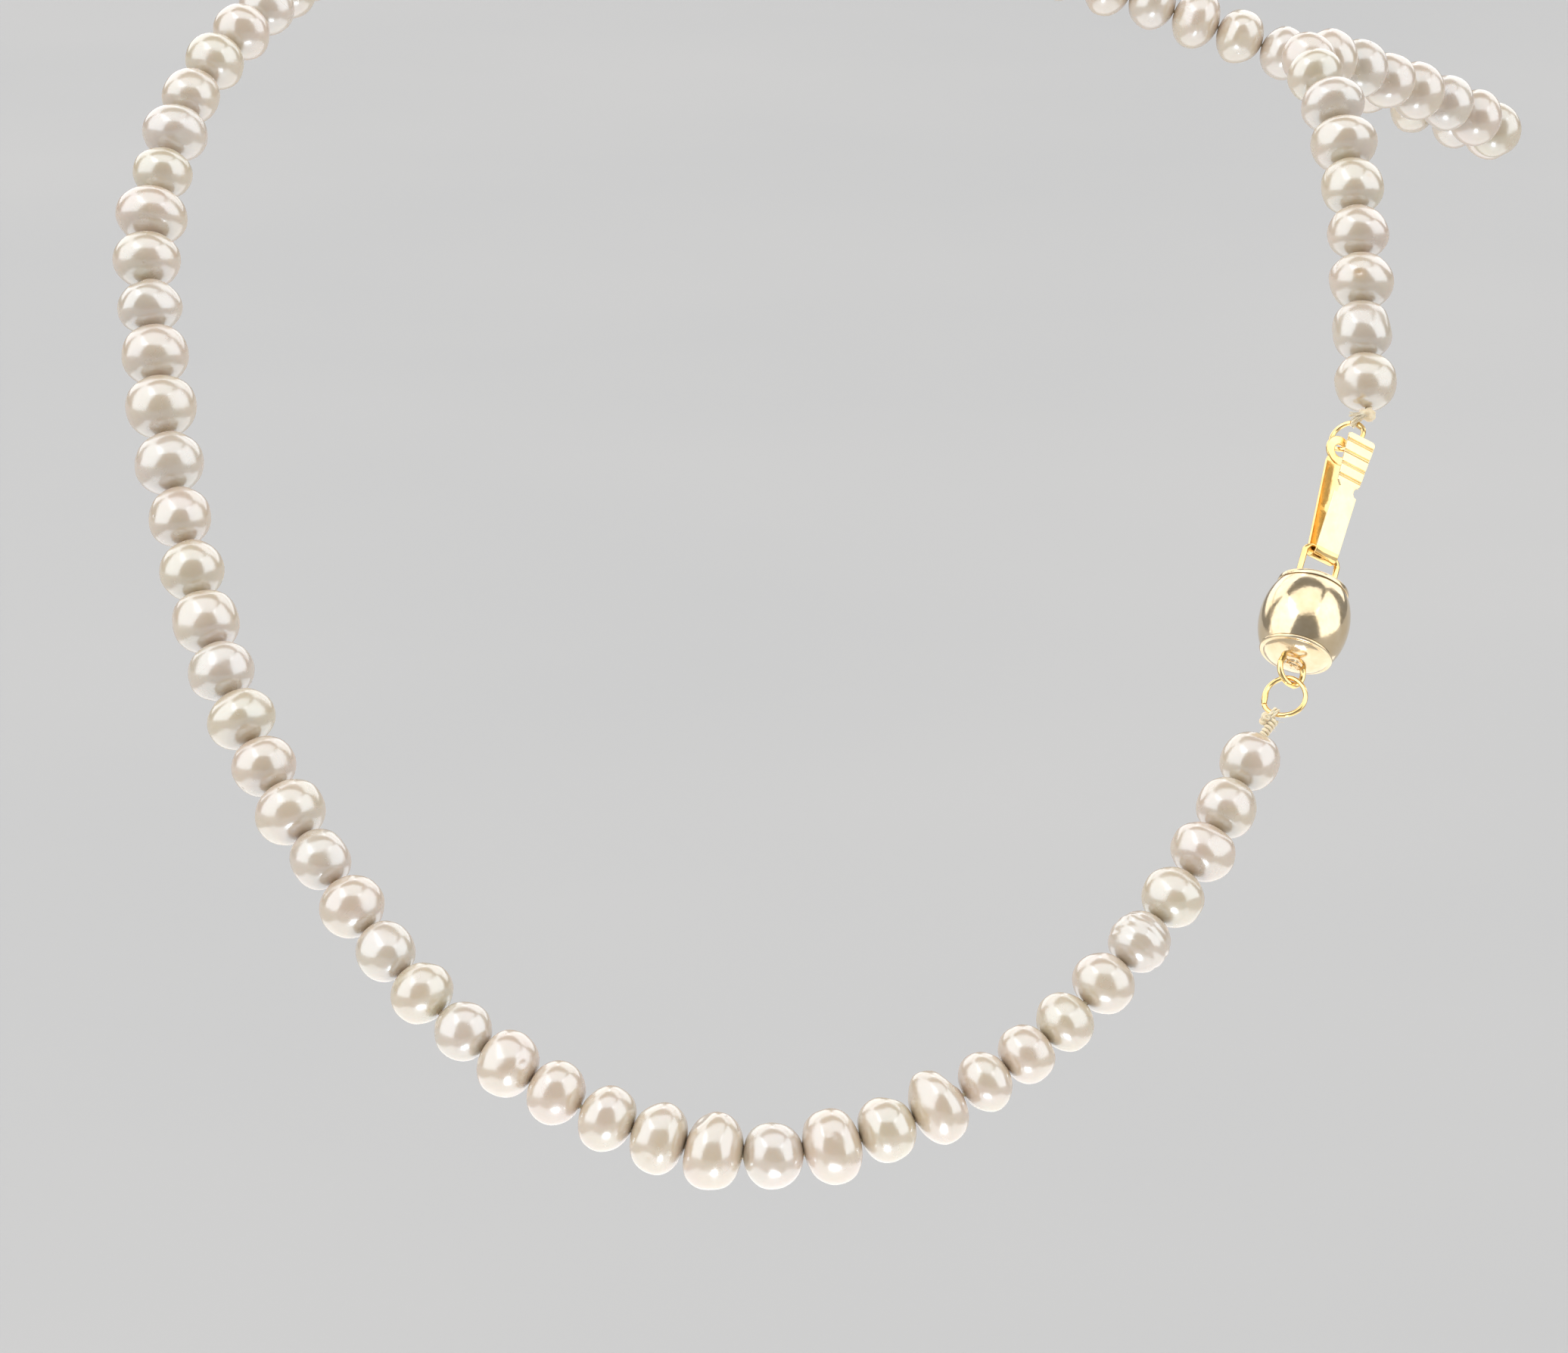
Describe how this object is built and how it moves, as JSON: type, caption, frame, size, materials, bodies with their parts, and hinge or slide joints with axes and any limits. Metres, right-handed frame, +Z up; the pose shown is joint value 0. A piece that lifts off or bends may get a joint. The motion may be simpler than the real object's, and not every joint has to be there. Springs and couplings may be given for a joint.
{
  "type": "pearl necklace",
  "caption": "Strand of off-round freshwater pearls strung on thread and closed at the side by a gold fish-hook ball clasp.",
  "frame": {"origin": "where the strand rests on the back of the wearer's neck", "axes": "+Z up, +X to the right of someone facing the wearer, -Y forwards from the wearer's neck towards the chest front"},
  "size_m": [0.1769, 0.1663, 0.123],
  "materials": {
    "nacre": "lustrous cream nacre",
    "gold_plate": "polished gold plate",
    "silk": "twisted beige silk"
  },
  "bodies": {
    "neck_strand": {"silk_thread": "silk", "neck_left_run": "nacre", "neck_back_run": "nacre", "neck_right_run": "nacre"},
    "upper_strand": {"pearl_83": "nacre"},
    "clasp_top_strand": {"pearl_86": "nacre", "upper_knot": "silk"},
    "upper_ring_link": {"upper_jump_ring": "gold_plate"},
    "tongue_link": {"tongue_base_leaf": "gold_plate"},
    "ball_link": {"ball_shell": "gold_plate", "ball_top_cap": "gold_plate", "ball_bottom_cap": "gold_plate", "catch_bail": "gold_plate", "ball_eye_loop": "gold_plate"},
    "lower_ring_link": {"lower_jump_ring": "gold_plate"},
    "lower_knot_strand": {"lower_knot": "silk"},
    "front_strand": {"pearl_04": "nacre"},
    "low_strand": {"pearl_07": "nacre"},
    "bottom_strand": {"pearl_10": "nacre"},
    "thumb_leaf": {"tongue_spring_leaf": "gold_plate"},
    "pearl_01": {"pearl_01": "nacre"},
    "pearl_02": {"pearl_02": "nacre"},
    "pearl_03": {"pearl_03": "nacre"},
    "pearl_05": {"pearl_05": "nacre"},
    "pearl_06": {"pearl_06": "nacre"},
    "pearl_08": {"pearl_08": "nacre"},
    "pearl_09": {"pearl_09": "nacre"},
    "pearl_11": {"pearl_11": "nacre"},
    "pearl_12": {"pearl_12": "nacre"},
    "pearl_13": {"pearl_13": "nacre"},
    "pearl_14": {"pearl_14": "nacre"},
    "pearl_15": {"pearl_15": "nacre"},
    "pearl_16": {"pearl_16": "nacre"},
    "pearl_17": {"pearl_17": "nacre"},
    "pearl_18": {"pearl_18": "nacre"},
    "pearl_19": {"pearl_19": "nacre"},
    "pearl_20": {"pearl_20": "nacre"},
    "pearl_21": {"pearl_21": "nacre"},
    "pearl_22": {"pearl_22": "nacre"},
    "pearl_23": {"pearl_23": "nacre"},
    "pearl_24": {"pearl_24": "nacre"},
    "pearl_25": {"pearl_25": "nacre"},
    "pearl_26": {"pearl_26": "nacre"},
    "pearl_27": {"pearl_27": "nacre"},
    "pearl_28": {"pearl_28": "nacre"},
    "pearl_29": {"pearl_29": "nacre"},
    "pearl_30": {"pearl_30": "nacre"},
    "pearl_31": {"pearl_31": "nacre"},
    "pearl_32": {"pearl_32": "nacre"},
    "pearl_33": {"pearl_33": "nacre"},
    "pearl_34": {"pearl_34": "nacre"},
    "pearl_35": {"pearl_35": "nacre"},
    "pearl_36": {"pearl_36": "nacre"},
    "pearl_37": {"pearl_37": "nacre"},
    "pearl_38": {"pearl_38": "nacre"},
    "pearl_39": {"pearl_39": "nacre"},
    "pearl_84": {"pearl_84": "nacre"},
    "pearl_85": {"pearl_85": "nacre"},
    "pearl_87": {"pearl_87": "nacre"},
    "pearl_88": {"pearl_88": "nacre"}
  },
  "joints": [
    {"name": "drape_01_shoulder", "type": "hinge", "parent": "neck_strand", "child": "upper_strand", "pos_m": [-0.00162, -0.06449, -0.018], "axis": [-0.9995, -0.0224, -0.0222], "range_deg": [0, 14], "deforming": ["silk_thread"]},
    {"name": "drape_02_above_clasp", "type": "hinge", "parent": "upper_strand", "child": "clasp_top_strand", "pos_m": [-0.00157, -0.07851, -0.03144], "axis": [-0.9996, -0.019, -0.0191], "range_deg": [0, 14], "deforming": ["silk_thread"]},
    {"name": "drape_03_upper_knot", "type": "hinge", "parent": "clasp_top_strand", "child": "upper_ring_link", "pos_m": [-0.00071, -0.09385, -0.04753], "axis": [-0.9999, -0.0064, -0.0091], "range_deg": [0, 12], "deforming": ["silk_thread"]},
    {"name": "drape_04_tongue_eye", "type": "hinge", "parent": "upper_ring_link", "child": "tongue_link", "pos_m": [-0.00106, -0.09759, -0.05157], "axis": [-0.9992, -0.0263, -0.0295], "range_deg": [0, 10], "deforming": ["silk_thread"]},
    {"name": "drape_05_bail_hook", "type": "hinge", "parent": "tongue_link", "child": "ball_link", "pos_m": [-0.00154, -0.10483, -0.05922], "axis": [-1, 0.0068, 0.0062], "range_deg": [0, 10], "deforming": ["silk_thread"]},
    {"name": "drape_06_ball_eye", "type": "hinge", "parent": "ball_link", "child": "lower_ring_link", "pos_m": [-0.00073, -0.11767, -0.07244], "axis": [-0.9998, -0.0141, -0.0136], "range_deg": [0, 12], "deforming": ["silk_thread"]},
    {"name": "drape_07_lower_knot", "type": "hinge", "parent": "lower_ring_link", "child": "lower_knot_strand", "pos_m": [-0.00031, -0.12136, -0.07633], "axis": [-0.9994, -0.0252, -0.0221], "range_deg": [0, 12], "deforming": ["silk_thread"]},
    {"name": "drape_08_front", "type": "hinge", "parent": "lower_knot_strand", "child": "front_strand", "pos_m": [-0.00042, -0.13514, -0.09003], "axis": [-0.9999, -0.0068, -0.0087], "range_deg": [0, 14], "deforming": ["silk_thread"]},
    {"name": "drape_09_low", "type": "hinge", "parent": "front_strand", "child": "low_strand", "pos_m": [-0.00034, -0.14625, -0.10167], "axis": [-0.9999, -0.0112, -0.0118], "range_deg": [0, 14], "deforming": ["silk_thread"]},
    {"name": "drape_10_bottom", "type": "hinge", "parent": "low_strand", "child": "bottom_strand", "pos_m": [0.0007, -0.15372, -0.10988], "axis": [-0.9994, -0.0223, -0.0246], "range_deg": [0, 14], "deforming": ["silk_thread"]},
    {"name": "clasp_thumb_press", "type": "hinge", "parent": "tongue_link", "child": "thumb_leaf", "pos_m": [0.06507, -0.10529, -0.05964], "axis": [-0.8249, -0.2885, 0.4862], "range_deg": [0, 3], "stiffness_Nm_per_rad": 0.4},
    {"name": "pearl_01_spin", "type": "hinge", "parent": "lower_knot_strand", "child": "pearl_01", "pos_m": [0.05551, -0.12405, -0.07942], "axis": [-0.4297, -0.6623, -0.6138], "continuous": true},
    {"name": "pearl_02_spin", "type": "hinge", "parent": "lower_knot_strand", "child": "pearl_02", "pos_m": [0.05257, -0.12855, -0.08359], "axis": [-0.4352, -0.659, -0.6135], "continuous": true},
    {"name": "pearl_03_spin", "type": "hinge", "parent": "lower_knot_strand", "child": "pearl_03", "pos_m": [0.04953, -0.13278, -0.08763], "axis": [-0.4871, -0.6245, -0.6105], "continuous": true},
    {"name": "pearl_05_spin", "type": "hinge", "parent": "front_strand", "child": "pearl_05", "pos_m": [0.04209, -0.14053, -0.09568], "axis": [-0.6093, -0.5441, -0.5768], "continuous": true},
    {"name": "pearl_06_spin", "type": "hinge", "parent": "front_strand", "child": "pearl_06", "pos_m": [0.03786, -0.14411, -0.09944], "axis": [-0.6536, -0.5249, -0.5452], "continuous": true},
    {"name": "pearl_08_spin", "type": "hinge", "parent": "low_strand", "child": "pearl_08", "pos_m": [0.02904, -0.15, -0.1057], "axis": [-0.7842, -0.4162, -0.4602], "continuous": true},
    {"name": "pearl_09_spin", "type": "hinge", "parent": "low_strand", "child": "pearl_09", "pos_m": [0.02436, -0.15222, -0.10818], "axis": [-0.8428, -0.356, -0.4037], "continuous": true},
    {"name": "pearl_11_spin", "type": "hinge", "parent": "bottom_strand", "child": "pearl_11", "pos_m": [0.01344, -0.15586, -0.11242], "axis": [-0.9327, -0.2324, -0.2757], "continuous": true},
    {"name": "pearl_12_spin", "type": "hinge", "parent": "bottom_strand", "child": "pearl_12", "pos_m": [0.00733, -0.15715, -0.11397], "axis": [-0.9638, -0.1692, -0.2061], "continuous": true},
    {"name": "pearl_13_spin", "type": "hinge", "parent": "bottom_strand", "child": "pearl_13", "pos_m": [0.00082, -0.15782, -0.11478], "axis": [-0.9986, -0.0347, -0.0404], "continuous": true},
    {"name": "pearl_14_spin", "type": "hinge", "parent": "bottom_strand", "child": "pearl_14", "pos_m": [-0.00575, -0.15755, -0.11443], "axis": [-0.9817, 0.1179, 0.1497], "continuous": true},
    {"name": "pearl_15_spin", "type": "hinge", "parent": "bottom_strand", "child": "pearl_15", "pos_m": [-0.01189, -0.15656, -0.1132], "axis": [-0.9507, 0.1978, 0.239], "continuous": true},
    {"name": "pearl_16_spin", "type": "hinge", "parent": "bottom_strand", "child": "pearl_16", "pos_m": [-0.01767, -0.15507, -0.11143], "axis": [-0.9029, 0.2782, 0.3276], "continuous": true},
    {"name": "pearl_17_spin", "type": "hinge", "parent": "low_strand", "child": "pearl_17", "pos_m": [-0.02328, -0.15313, -0.10918], "axis": [-0.8623, 0.3344, 0.3802], "continuous": true},
    {"name": "pearl_18_spin", "type": "hinge", "parent": "low_strand", "child": "pearl_18", "pos_m": [-0.02872, -0.15083, -0.10661], "axis": [-0.8267, 0.3775, 0.4173], "continuous": true},
    {"name": "pearl_19_spin", "type": "hinge", "parent": "low_strand", "child": "pearl_19", "pos_m": [-0.0339, -0.14813, -0.10367], "axis": [-0.7555, 0.4469, 0.479], "continuous": true},
    {"name": "pearl_20_spin", "type": "hinge", "parent": "front_strand", "child": "pearl_20", "pos_m": [-0.03857, -0.14495, -0.10031], "axis": [-0.6627, 0.5184, 0.5405], "continuous": true},
    {"name": "pearl_21_spin", "type": "hinge", "parent": "front_strand", "child": "pearl_21", "pos_m": [-0.04283, -0.14136, -0.09658], "axis": [-0.608, 0.5506, 0.572], "continuous": true},
    {"name": "pearl_22_spin", "type": "hinge", "parent": "front_strand", "child": "pearl_22", "pos_m": [-0.04685, -0.13748, -0.09255], "axis": [-0.558, 0.5751, 0.5982], "continuous": true},
    {"name": "pearl_23_spin", "type": "hinge", "parent": "lower_knot_strand", "child": "pearl_23", "pos_m": [-0.05068, -0.13337, -0.0883], "axis": [-0.5305, 0.5913, 0.6074], "continuous": true},
    {"name": "pearl_24_spin", "type": "hinge", "parent": "lower_knot_strand", "child": "pearl_24", "pos_m": [-0.05432, -0.12918, -0.08403], "axis": [-0.5097, 0.6051, 0.6116], "continuous": true},
    {"name": "pearl_25_spin", "type": "hinge", "parent": "lower_knot_strand", "child": "pearl_25", "pos_m": [-0.05765, -0.12497, -0.07977], "axis": [-0.4601, 0.6248, 0.6309], "continuous": true},
    {"name": "pearl_26_spin", "type": "hinge", "parent": "lower_ring_link", "child": "pearl_26", "pos_m": [-0.06056, -0.12069, -0.07545], "axis": [-0.4029, 0.6439, 0.6504], "continuous": true},
    {"name": "pearl_27_spin", "type": "hinge", "parent": "ball_link", "child": "pearl_27", "pos_m": [-0.06308, -0.11629, -0.071], "axis": [-0.345, 0.6589, 0.6684], "continuous": true},
    {"name": "pearl_28_spin", "type": "hinge", "parent": "ball_link", "child": "pearl_28", "pos_m": [-0.06527, -0.11167, -0.0663], "axis": [-0.2849, 0.6718, 0.6837], "continuous": true},
    {"name": "pearl_29_spin", "type": "hinge", "parent": "ball_link", "child": "pearl_29", "pos_m": [-0.06721, -0.10683, -0.06134], "axis": [-0.256, 0.6727, 0.6943], "continuous": true},
    {"name": "pearl_30_spin", "type": "hinge", "parent": "tongue_link", "child": "pearl_30", "pos_m": [-0.06902, -0.10189, -0.05621], "axis": [-0.2348, 0.6711, 0.7032], "continuous": true},
    {"name": "pearl_31_spin", "type": "hinge", "parent": "upper_ring_link", "child": "pearl_31", "pos_m": [-0.07064, -0.09686, -0.05089], "axis": [-0.1978, 0.6715, 0.7142], "continuous": true},
    {"name": "pearl_32_spin", "type": "hinge", "parent": "clasp_top_strand", "child": "pearl_32", "pos_m": [-0.07199, -0.09173, -0.04538], "axis": [-0.1564, 0.6698, 0.7259], "continuous": true},
    {"name": "pearl_33_spin", "type": "hinge", "parent": "clasp_top_strand", "child": "pearl_33", "pos_m": [-0.0731, -0.08678, -0.04006], "axis": [-0.1458, 0.6766, 0.7217], "continuous": true},
    {"name": "pearl_34_spin", "type": "hinge", "parent": "clasp_top_strand", "child": "pearl_34", "pos_m": [-0.07413, -0.08215, -0.03518], "axis": [-0.1579, 0.6839, 0.7123], "continuous": true},
    {"name": "pearl_35_spin", "type": "hinge", "parent": "upper_strand", "child": "pearl_35", "pos_m": [-0.0748, -0.07754, -0.03046], "axis": [-0.0438, 0.7041, 0.7088], "continuous": true},
    {"name": "pearl_36_spin", "type": "hinge", "parent": "upper_strand", "child": "pearl_36", "pos_m": [-0.07456, -0.07292, -0.02587], "axis": [0.1209, 0.7094, 0.6944], "continuous": true},
    {"name": "pearl_37_spin", "type": "hinge", "parent": "upper_strand", "child": "pearl_37", "pos_m": [-0.07364, -0.06837, -0.02162], "axis": [0.1718, 0.7356, 0.6553], "continuous": true},
    {"name": "pearl_38_spin", "type": "hinge", "parent": "neck_strand", "child": "pearl_38", "pos_m": [-0.07251, -0.06359, -0.01761], "axis": [0.1833, 0.7707, 0.6103], "continuous": true},
    {"name": "pearl_39_spin", "type": "hinge", "parent": "neck_strand", "child": "pearl_39", "pos_m": [-0.07093, -0.0586, -0.01379], "axis": [0.3051, 0.7661, 0.5657], "continuous": true},
    {"name": "pearl_84_spin", "type": "hinge", "parent": "upper_strand", "child": "pearl_84", "pos_m": [0.07103, -0.07001, -0.02297], "axis": [0.0878, -0.7138, -0.6948], "continuous": true},
    {"name": "pearl_85_spin", "type": "hinge", "parent": "upper_strand", "child": "pearl_85", "pos_m": [0.07142, -0.07476, -0.02767], "axis": [0.0273, -0.7048, -0.7089], "continuous": true},
    {"name": "pearl_87_spin", "type": "hinge", "parent": "clasp_top_strand", "child": "pearl_87", "pos_m": [0.07118, -0.08453, -0.03769], "axis": [-0.0154, -0.6997, -0.7143], "continuous": true},
    {"name": "pearl_88_spin", "type": "hinge", "parent": "clasp_top_strand", "child": "pearl_88", "pos_m": [0.07123, -0.08967, -0.04286], "axis": [0.0305, -0.7101, -0.7034], "continuous": true}
  ]
}
